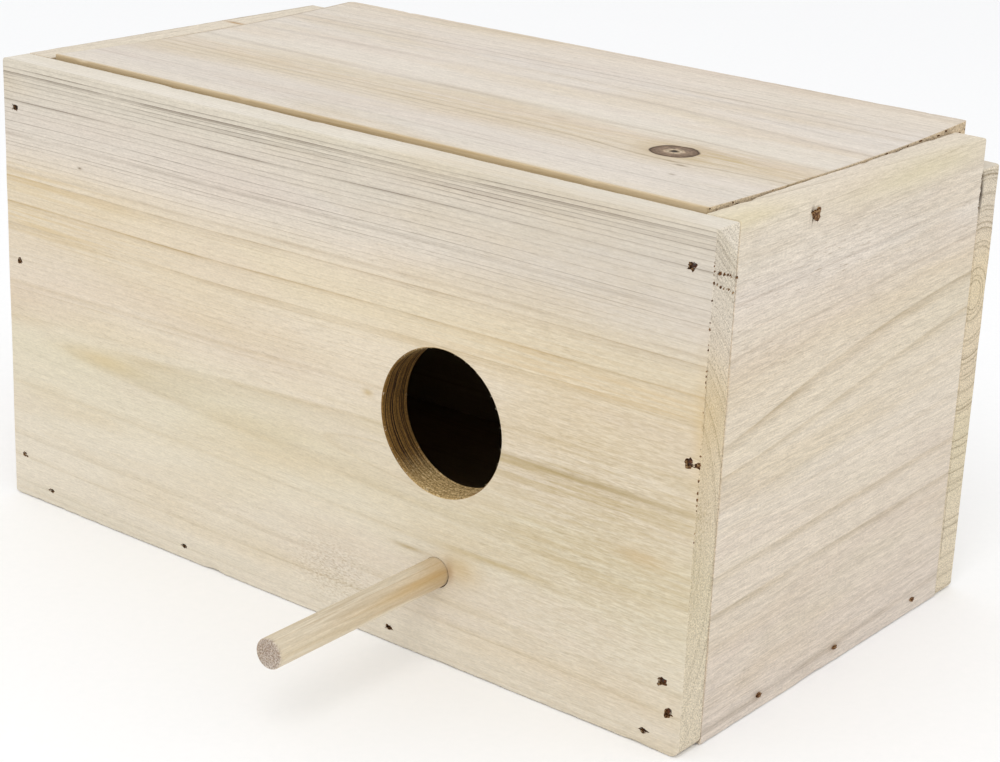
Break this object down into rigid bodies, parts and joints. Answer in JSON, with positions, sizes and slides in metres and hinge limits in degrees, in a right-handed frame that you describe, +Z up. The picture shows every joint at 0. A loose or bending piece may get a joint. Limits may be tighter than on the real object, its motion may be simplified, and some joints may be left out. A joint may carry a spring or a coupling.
{
  "type": "nesting box",
  "caption": "Small oblong wooden nesting box with a round off-centre entrance, a dowel perch under it and a flat lid that swings up on two nails.",
  "frame": {"origin": "centre of the box's footprint, on the surface it stands on, leaving out the perch", "axes": "+X along the box to the right, towards the entrance's end; the entrance and perch face -Y; +Z up"},
  "size_m": [0.24, 0.1971, 0.1327],
  "materials": {
    "pine": "unfinished pale softwood, sawn and lightly sanded",
    "lid_pine": "unfinished pale softwood with a knot, lightly planed",
    "dowel": "unfinished turned dowel",
    "steel": "uncoated steel, dulled brown with the first rust"
  },
  "bodies": {
    "box": {"front_board": "pine", "back_board": "pine", "left_side_board": "pine", "right_side_board": "pine", "floor_board": "pine", "perch": "dowel", "brad_front_left_1": "steel", "brad_front_left_2": "steel", "brad_front_left_3": "steel", "brad_front_right_1": "steel", "brad_front_right_2": "steel", "brad_front_right_3": "steel", "brad_front_right_4": "steel", "brad_front_floor_1": "steel", "brad_front_floor_2": "steel", "brad_front_floor_3": "steel", "brad_front_floor_4": "steel", "brad_back_left_1": "steel", "brad_back_left_2": "steel", "brad_back_left_3": "steel", "brad_back_right_1": "steel", "brad_back_right_2": "steel", "brad_back_right_3": "steel", "brad_back_floor_1": "steel", "brad_back_floor_2": "steel", "brad_back_floor_3": "steel", "brad_back_floor_4": "steel", "brad_right_floor_1": "steel", "brad_right_floor_2": "steel", "brad_right_floor_3": "steel", "brad_left_floor_1": "steel", "brad_left_floor_2": "steel", "brad_left_floor_3": "steel", "lid_nail_left": "steel", "lid_nail_right": "steel"},
    "lid": {"lid": "lid_pine"}
  },
  "joints": [
    {"name": "lid_hinge", "type": "hinge", "parent": "box", "child": "lid", "pos_m": [0, -0.0263, 0.12651], "axis": [1, 0, 0], "range_deg": [0, 160]}
  ]
}
